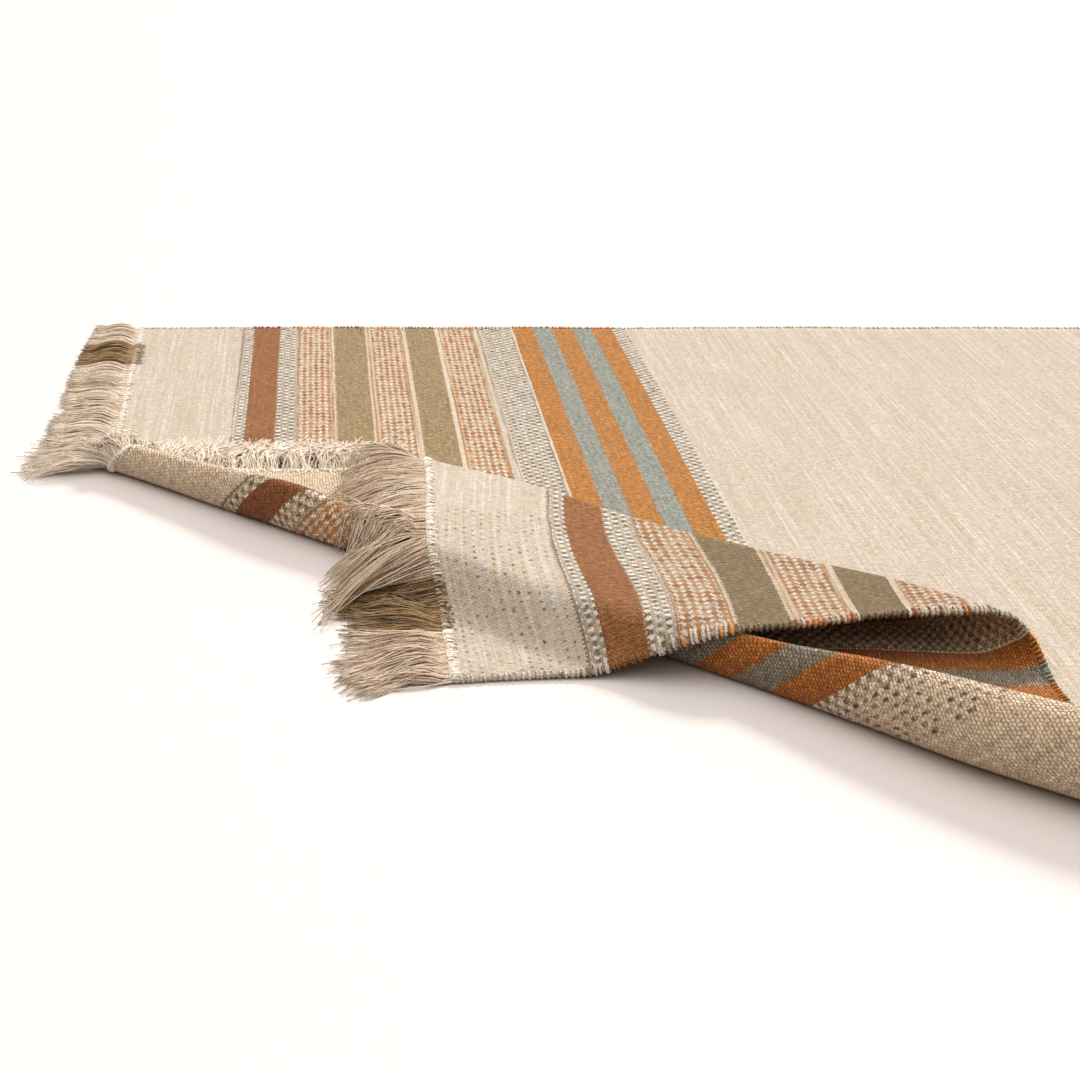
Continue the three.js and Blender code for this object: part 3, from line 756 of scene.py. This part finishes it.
# How the locks lie, by their place across the rug in metres: how many degrees they lean, counted
# anticlockwise as seen from above the rug laid open, and their length in millimetres.
LOCK_LIE = np.array([
    [0.00, 8, 90], [0.05, 16, 98], [0.09, 20, 106], [0.12, 4, 104], [0.14, -6, 104], [0.20, -2, 104],
    [0.24, 20, 94], [0.29, 29, 86], [0.35, 32, 84], [0.39, 20, 90], [0.43, 3, 94], [0.48, 2, 94],
    [0.54, 10, 96], [0.60, 10, 92], [0.75, -10, 84], [0.90, 8, 86], [1.00, 13, 96], [1.05, -2, 92],
    [1.11, -14, 90], [1.20, -6, 84], [1.30, -10, 86], [1.41, -9, 80], [1.50, -2, 78], [1.58, -8, 70],
    [1.60, -8, 70],
])
# How tangled the locks are, by their place across the rug: least on the flat body, about twice as
# much on the flap, and most round the roll and on the middle stretch, where they were thrown over.
TANGLE = np.array([
    [0.00, 1.6], [0.12, 1.4], [0.22, 1.8], [0.40, 1.9], [0.50, 1.7], [0.58, 1.9], [0.62, 3.0],
    [0.98, 3.2], [1.03, 2.4], [1.08, 0.9], [1.60, 0.7],
])
# Where yarns rest on the turned corner: how far before the roll's front they start to climb it,
# within what distance they do, how far behind the contact line its top starts to fall, and how
# far past the roll's start the body still carries them.
CLIMB_BEFORE = 0.012
CLIMB_LENGTH = 0.016
SHOULDER = 0.010
BODY_MARGIN = 0.004


def support_height(x, y):
    """Height of the cloth that lies under a place left of the flap: the roll's top near the
    contact line, easing down to the second layer behind it, and the floor in front."""
    u, v = x + RUG_LENGTH / 2 - FOLD_START_U, y + RUG_WIDTH / 2 - FOLD_START_V
    along = ALONG[0] * u + ALONG[1] * v
    away = AWAY[0] * u + AWAY[1] * v
    _, roll, front, back = section_values(along.ravel())[:4, :, 0].reshape((4,) + along.shape)
    down = ease(np.clip((away - SHOULDER) / back, 0, 1))
    over = roll + (SECOND_LAYER - roll) * down + HALF_THICKNESS
    rise = np.clip((away + front + CLIMB_BEFORE) / CLIMB_LENGTH, 0, 1)
    height = np.where(away < SHOULDER, (roll + HALF_THICKNESS) * ease(rise), over)
    body = np.where(v > -BODY_MARGIN, 2 * HALF_THICKNESS, 0)
    return np.where(along < 0, body, height)


def yarn_tubes(paths, radii):
    """Tubes round many paths at once: a ring of points round each path point, square to the path
    and with one axis level, ring joined to ring, and closed ends. Also gives each point's
    distance along its yarn."""
    count, steps = paths.shape[:2]
    heading = np.gradient(paths, axis=1)
    heading /= np.linalg.norm(heading, axis=2)[..., None]
    # A hair is added so that a yarn that runs straight up or down has a level axis too.
    level = np.cross(heading, [0.0, 0.0, 1.0]) + 1e-6
    level /= np.linalg.norm(level, axis=2)[..., None]
    third = np.cross(level, heading)
    turn = np.arange(YARN_SIDES) / YARN_SIDES * 2 * np.pi
    ring = (level[:, :, None] * np.cos(turn)[None, None, :, None]
            + third[:, :, None] * np.sin(turn)[None, None, :, None])
    points = paths[:, :, None] + ring * radii[:, :, None, None]
    index = np.arange(count * steps * YARN_SIDES).reshape(count, steps, YARN_SIDES)
    onward = np.roll(index, -1, axis=2)
    walls = np.stack([index[:, :-1], onward[:, :-1], onward[:, 1:], index[:, 1:]], axis=-1)
    faces = np.concatenate([walls.reshape(-1, 4), index[:, 0, ::-1], index[:, -1]])
    run = np.concatenate([
        np.zeros((count, 1)),
        np.cumsum(np.linalg.norm(np.diff(paths, axis=1), axis=2), axis=1),
    ], axis=1)
    return points.reshape(-1, 3), faces, np.repeat(run.ravel(), YARN_SIDES)


def value_of(tree, name):
    """A value that the piece keeps at each of its points."""
    node = tree.nodes.new("ShaderNodeAttribute")
    node.attribute_name = name
    return node.outputs["Fac"]


def yarn_material(name, twist, plain=None, olive=None):
    """Plied yarn, with painted shade between the plies that wind round it and lighter and darker fibre
    along it. Warp yarn lies between a darker and a lighter plain shade, or between two olive ones.
    With no shades given it is weft, dyed as the cloth is where it is."""
    material = bpy.data.materials.new(name)
    material.use_nodes = True
    tree = material.node_tree
    shader = tree.nodes["Principled BSDF"]
    shade = value_of(tree, "yarn_shade")
    place = tree.nodes.new("ShaderNodeTexCoord").outputs["Object"]
    wave = calc(tree, "SINE", scaled(tree, value_of(tree, "along_yarn"), twist))
    if plain is None:
        spot_colour, spotted = striped(tree, value_of(tree, "dye_place"), SPOTS)
        band = striped(tree, value_of(tree, "dye_place"), BANDS)[0]
        spot_share = product(tree, spotted, calc(tree, "GREATER_THAN", shade, 0.7), 0.85)
        dyed = blend_colours(tree, spot_share, band, spot_colour)
        yarn = shaded(tree, dyed, scaled(tree, shade, 0.35, 0.9))
    else:
        undyed = blend_colours(tree, shade, *plain)
        yarn = blend_colours(
            tree, value_of(tree, "yarn_olive"), undyed, blend_colours(tree, shade, *olive))
    fibre = noise(tree, place, 900.0, 2.0)
    patches = noise(tree, place, 60.0, 2.0)
    # Painted shade in the grooves between the plies, with the fibre's own lighter and darker tone.
    ply_shade_and_fibre = total(tree, scaled(tree, wave, 0.08, 0.62), scaled(tree, fibre, 0.76))
    level = product(tree, ply_shade_and_fibre, scaled(tree, patches, 0.5, 0.75))
    tree.links.new(shaded(tree, yarn, level), shader.inputs["Base Color"])
    bump = tree.nodes.new("ShaderNodeBump")
    bump.inputs["Strength"].default_value = 0.7
    bump.inputs["Distance"].default_value = 0.0004
    tree.links.new(total(tree, wave, fibre), bump.inputs["Height"])
    tree.links.new(bump.outputs[0], shader.inputs["Normal"])
    shader.inputs["Roughness"].default_value = 0.9
    shader.inputs["Specular IOR Level"].default_value = 0.2
    shader.inputs["Sheen Weight"].default_value = 0.25
    return material


UNDYED = (linear(206, 184, 160), linear(252, 240, 224))
OLIVE_DYED = (linear(112, 88, 58), linear(192, 160, 116))
fringe_yarn = yarn_material("plied_warp", 3400.0, UNDYED, OLIVE_DYED)


def yarn_piece(name, paths, radii, material, values):
    """Yarns as one piece, with values given for each yarn kept at each of its points."""
    points, faces, along = yarn_tubes(paths, radii)
    piece = new_mesh(name, points, faces, [material])
    per_yarn = paths.shape[1] * YARN_SIDES
    kept = {"along_yarn": along}
    kept.update({key: np.repeat(given, per_yarn) for key, given in values.items()})
    for key, given in kept.items():
        made = piece.data.attributes.new(key, "FLOAT", "POINT")
        made.data.foreach_set("value", given.astype(np.float32))
    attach(piece, "root")
    return piece


def within(place, stretches):
    """1 where a place lies in one of the stretches and 0 elsewhere."""
    return sum((place > low) & (place < high) for low, high in stretches).astype(float)


# Yarns start inside the cloth's end, anywhere in its thickness, and take their heading from
# there to a little outside it. They pile up at most this high on what they lie on.
ROOT_DEPTH = 0.003
ROOT_SPREAD = 0.0014
HEADING_REACH = 0.005
PILE_HEIGHT = 0.011
# Locks of the flat body lie from here on, and wave less than those of the turned corner.
FLAT_LOCKS_V = 1.05


def fringe(name, node, from_v, to_v, outward, on_cloth, yarns_per_lock, tone_and_shade_shift, seed):
    """One stretch of fringe. Yarns leave the cloth's end in its own heading, turn level, lean and wave
    with their lock and a little on their own, and settle on what lies below, piled up. Each is a path
    in f, 0 at its root and 1 at its tip. The shift given moves the shades of undyed yarns towards the
    lighter one when above 0 and towards the darker one below 0; on the flap it is painted shade."""
    chance = np.random.default_rng(seed)
    pitch = RUG_WIDTH / LOCKS
    locks = np.arange(np.ceil(from_v / pitch - 0.5), np.floor(to_v / pitch - 0.5) + 1)
    lock = np.repeat(np.arange(len(locks)), yarns_per_lock)
    count = len(lock)
    spot = chance.uniform(-0.5, 0.5, count)
    v = (locks[lock] + 0.5 + spot) * pitch
    end_u = left_end(v) if outward < 0 else np.full(count, RUG_LENGTH)
    inner, inner_top = laid(end_u - outward * ROOT_DEPTH, v)
    heading = laid(end_u + outward * HEADING_REACH, v)[0] - inner
    heading /= np.linalg.norm(heading, axis=1)[:, None]
    root = inner + inner_top * chance.uniform(-ROOT_SPREAD, ROOT_SPREAD, count)[:, None]
    reach = np.linalg.norm(heading[:, :2], axis=1)
    level = heading[:, :2] / reach[:, None]
    side = np.stack([-level[:, 1], level[:, 0]], axis=1)

    lean = np.radians(np.interp(v, LOCK_LIE[:, 0], LOCK_LIE[:, 1]))
    tangle = np.interp(v, TANGLE[:, 0], TANGLE[:, 1])
    swing = chance.normal(0, 0.08, len(locks))[lock] + chance.normal(0, 0.06, count)
    swing = lean + tangle * swing
    uneven = chance.normal(0, 0.03, len(locks))[lock] + chance.normal(0, 0.04, count)
    length = np.interp(v, LOCK_LIE[:, 0], LOCK_LIE[:, 2]) / 1000 * (1 + tangle * uneven)
    f = np.linspace(0, 1, YARN_STEPS)[None, :]
    run = length[:, None] * f * (reach[:, None] * (1 - f) + f)
    drift = length[:, None] * np.tan(swing)[:, None] * f**1.3
    spread = (chance.normal(0, 0.32, count) - 0.62 * spot)[:, None] * pitch * f

    def waves(size, turns, start):
        """A sine wave along each yarn, with its own size, number of turns and start."""
        return size[:, None] * np.sin(2 * np.pi * (f * turns[:, None] + start[:, None]))

    calm = np.where(v > FLAT_LOCKS_V, 0.4, 1.2)
    lock_size = calm * chance.uniform(0.001, 0.0045, len(locks))[lock]
    lock_turns = chance.uniform(0.5, 1.1, len(locks))[lock]
    lock_wave = waves(lock_size, lock_turns, chance.uniform(0, 1, len(locks))[lock])
    own_size = tangle * chance.uniform(0.0003, 0.0022, count)
    own_turns = chance.uniform(0.8, 2.2, count)
    own_wave = waves(own_size, own_turns, chance.uniform(0, 1, count))
    sideways = drift + spread + (lock_wave + own_wave) * np.minimum(3 * f, 1)
    xy = root[:, None, :2] + level[:, None] * run[..., None] + side[:, None] * sideways[..., None]
    x, y = xy[..., 0], xy[..., 1]
    support = support_height(x, y) if on_cloth else np.zeros_like(run)
    support = support + np.where(support > 0, floor_unevenness(x, y), 0)
    pile = chance.uniform(0, 1, count)**1.4 * PILE_HEIGHT
    rest = support + YARN_RADIUS + pile[:, None] * np.sin(np.pi * np.clip(f * 1.1 + 0.05, 0, 0.9))
    root_z = root[:, None, 2]
    free = root_z + heading[:, 2:] * length[:, None] * f * (1 - f) + (rest - root_z) * f**2
    z = np.maximum(free, rest * np.minimum(f * 4, 1))
    z = np.maximum(z, YARN_RADIUS)
    paths = np.concatenate([xy, z[..., None]], axis=2)
    thickness = YARN_RADIUS * chance.uniform(0.75, 1.35, count)[:, None] * (1 - 0.4 * f**3)
    olive = within(v, OLIVE_WARPS)
    # Undyed yarns are shifted lighter or darker; the flap's darker shift is painted shade for the
    # shade among its locks.
    shade = chance.uniform(0, 1, count) + tone_and_shade_shift * (1 - olive)
    piece = yarn_piece(
        name, paths, thickness, fringe_yarn, {"yarn_shade": shade, "yarn_olive": olive})
    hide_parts(node)
    return piece


# The flap's fringe is made darker as painted shade, for the shade among its clumped locks; the
# middle's is made lighter.
fringes = [
    fringe("fringe_body", "fringe_left_body", 1.004, RUG_WIDTH, -1, False, 24, 0.0, 11),
    fringe("fringe_middle", "fringe_left_middle", 0.596, 1.004, -1, True, 26, 0.6, 12),
    fringe("fringe_flap", "fringe_left_flap", 0.0, 0.596, -1, True, 25, -0.4, 13),
    fringe("fringe_far_end", "fringe_right", 0.0, RUG_WIDTH, 1, False, 12, 0.0, 14),
]


# The two short ends are closed by a twined cord of thick white cotton: its stitches wrap round
# the cloth's end from one face to the other, each a little askew, and cover the fringe's roots.
END_STITCH = 0.0036
# A stitch's course round an edge: how far in from the edge each point is, how far off the cloth's
# middle for a stitch of ordinary thickness, and the yarn's thickness there as a share of its own.
STITCH_COURSE = np.array([
    [0.0150, 0.0012, 0.60], [0.0125, 0.0027, 0.85], [0.0080, 0.0034, 1.0], [0.0030, 0.0034, 1.0],
    [-0.0022, 0.0020, 1.0], [-0.0034, 0.0000, 1.0], [-0.0022, -0.0020, 1.0],
    [0.0030, -0.0034, 1.0], [0.0080, -0.0034, 1.0], [0.0125, -0.0027, 0.85], [0.0150, -0.0012, 0.60],
])
# Stitches stay this far clear of the floor.
STITCH_CLEARANCE = 0.0002


def wrapped(name, u, v, inward, askew, reach, radius, material, values):
    """Stitches round an edge. Each keeps the course above, with its distances in from the edge
    times its reach, and its height off the cloth's middle brought to the thickness of the cloth
    and the stitch. askew is how far it moves on along the edge."""
    course_in, course_off, taper = STITCH_COURSE.T
    steps = len(STITCH_COURSE)
    inset = course_in[None, :] * reach[:, None]
    on = askew[:, None] * np.linspace(-0.5, 0.5, steps)[None, :]
    place_u = u[:, None] + inward[0] * inset + abs(inward[1]) * on
    place_v = v[:, None] + inward[1] * inset + abs(inward[0]) * on
    middle, top = laid(place_u.ravel(), place_v.ravel())
    off = course_off / course_off.max()
    off = off[None, :] * (HALF_THICKNESS + 0.8 * radius[:, None])
    paths = (middle + top * off.reshape(-1, 1)).reshape(len(u), steps, 3)
    radii = radius[:, None] * taper
    paths[:, :, 2] = np.maximum(paths[:, :, 2], radii + STITCH_CLEARANCE)
    piece = yarn_piece(name, paths, radii, material, values)
    return piece


CORD_WHITE = (linear(228, 216, 200), linear(250, 244, 234))
end_cord = yarn_material("end_cord", 1500.0, CORD_WHITE, OLIVE_DYED)


def end_stitches(name, outward, seed):
    """The twined cord at one short end, stitch by stitch from selvedge to selvedge. At the left
    end it thickens by a bell curve where the roll begins."""
    chance = np.random.default_rng(seed)
    v = np.arange(END_STITCH / 2, RUG_WIDTH, END_STITCH)
    count = len(v)
    v = v + chance.normal(0, 0.0009, count)
    u = left_end(v) if outward < 0 else np.full(count, RUG_LENGTH)
    thicker = 0.0008 * np.exp(-((v - FOLD_START_V) / 0.05)**2) if outward < 0 else 0.0
    askew = chance.normal(0.0026, 0.0024, count)
    reach = chance.uniform(0.15, 0.62, count)
    radius = chance.uniform(0.0010, 0.0018, count) + thicker
    shade = chance.uniform(0, 1, count)
    return wrapped(name, u, v, (-outward, 0), askew, reach, radius, end_cord,
                   {"yarn_shade": shade, "yarn_olive": 0.75 * within(v, OLIVE_WARPS)})


cords = [end_stitches("cord_left_end", -1, 21), end_stitches("cord_right_end", 1, 22)]


# The two selvedges: every weft turns back round the outermost warp there. The turns are plain and
# tight in the cream field, and loose little loops where two colours are carried along the edge.
TURN = 0.0052
LOOSE_TURNS = [(0.151, 0.175), (0.209, 0.294), (0.334, 0.4), (0.444, 0.566)]
selvedge_yarn = yarn_material("selvedge_weft", 1800.0)


def selvedge_turns(name, edge_v, inward_v, seed):
    """The weft turns along one selvedge. Loops stand out further where the cloth is spotted."""
    chance = np.random.default_rng(seed)
    u = np.arange(left_end(edge_v) + TURN / 2, RUG_LENGTH, TURN)
    count = len(u)
    u = u + chance.normal(0, 0.0008, count)
    from_end = np.minimum(u, RUG_LENGTH - u)
    loose = within(from_end, LOOSE_TURNS)
    reach = chance.uniform(0.35, 0.62, count) + loose * chance.uniform(0.0, 0.9, count)
    radius = chance.uniform(0.0011, 0.0016, count) + loose * chance.uniform(0, 0.0006, count)
    askew = chance.normal(0.0026, 0.0018, count)
    shade = chance.uniform(0, 1, count)
    return wrapped(name, u, np.full(count, edge_v), (0, inward_v), askew, reach, radius,
                   selvedge_yarn, {"yarn_shade": shade, "dye_place": from_end})


turns = [
    selvedge_turns("near_selvedge", 0.0, 1, 23),
    selvedge_turns("far_selvedge", RUG_WIDTH, -1, 24),
]

# The room: a plain white studio floor, and a low, fairly soft light from behind on the right that
# gives the rug its long shadow towards the camera.
floor_mesh = bpy.data.meshes.new("floor")
floor_mesh.from_pydata([(-12, -12, 0), (12, -12, 0), (12, 30, 0), (-12, 30, 0)], [], [(0, 1, 2, 3)])
floor = bpy.data.objects.new("floor", floor_mesh)
bpy.context.collection.objects.link(floor)
floor_finish = bpy.data.materials.new("studio_floor")
floor_finish.use_nodes = True
floor_shader = floor_finish.node_tree.nodes["Principled BSDF"]
floor_shader.inputs["Base Color"].default_value = (0.69, 0.66, 0.655, 1)
floor_shader.inputs["Roughness"].default_value = 0.8
floor_shader.inputs["Specular IOR Level"].default_value = 0.05
floor_mesh.materials.append(floor_finish)

key_data = bpy.data.lights.new("key_light", "SUN")
key_data.energy = 3.10
key_data.angle = 0.20
key_data.color = (1.0, 0.98, 0.95)
key = bpy.data.objects.new("key_light", key_data)
KEY_TURN, KEY_HEIGHT = np.radians([28, 33])
toward = np.array([
    np.sin(KEY_TURN) * np.cos(KEY_HEIGHT),
    np.cos(KEY_TURN) * np.cos(KEY_HEIGHT),
    np.sin(KEY_HEIGHT),
])
key_right = np.cross([0.0, 0.0, 1.0], toward)
key_right /= np.linalg.norm(key_right)
key_up = np.cross(toward, key_right)
key.matrix_world = Matrix([
    [key_right[i], key_up[i], toward[i], toward[i] * 4] for i in range(3)
] + [[0, 0, 0, 1]])
bpy.context.collection.objects.link(key)

# The room's own light is strongest overhead and falls off to a weak, warm light from the sides.
CEILING_DIRECTION = (0.05, 0.10, 0.99)
CEILING_LIGHT, SIDE_LIGHT = 2.0, 0.155
CEILING_COLOUR, SIDE_COLOUR = (1.0, 0.99, 0.97), (1.0, 0.82, 0.66)
room = bpy.data.worlds.new("room")
room.use_nodes = True
room_tree = room.node_tree
room_shader = room_tree.nodes["Background"]
toward_ceiling = room_tree.nodes.new("ShaderNodeVectorMath")
toward_ceiling.operation = "DOT_PRODUCT"
toward_ceiling.inputs[1].default_value = CEILING_DIRECTION
room_place = room_tree.nodes.new("ShaderNodeTexCoord")
room_tree.links.new(room_place.outputs["Generated"], toward_ceiling.inputs[0])
above = calc(room_tree, "MAXIMUM", toward_ceiling.outputs["Value"], 0.0)
ceiling = calc(room_tree, "POWER", above, 2.0)
room_colour = blend_colours(room_tree, ceiling, SIDE_COLOUR, CEILING_COLOUR)
room_tree.links.new(scaled(room_tree, ceiling, CEILING_LIGHT, SIDE_LIGHT), room_shader.inputs[1])
room_tree.links.new(room_colour, room_shader.inputs[0])
bpy.context.scene.world = room
bpy.context.scene.view_settings.view_transform = "Standard"
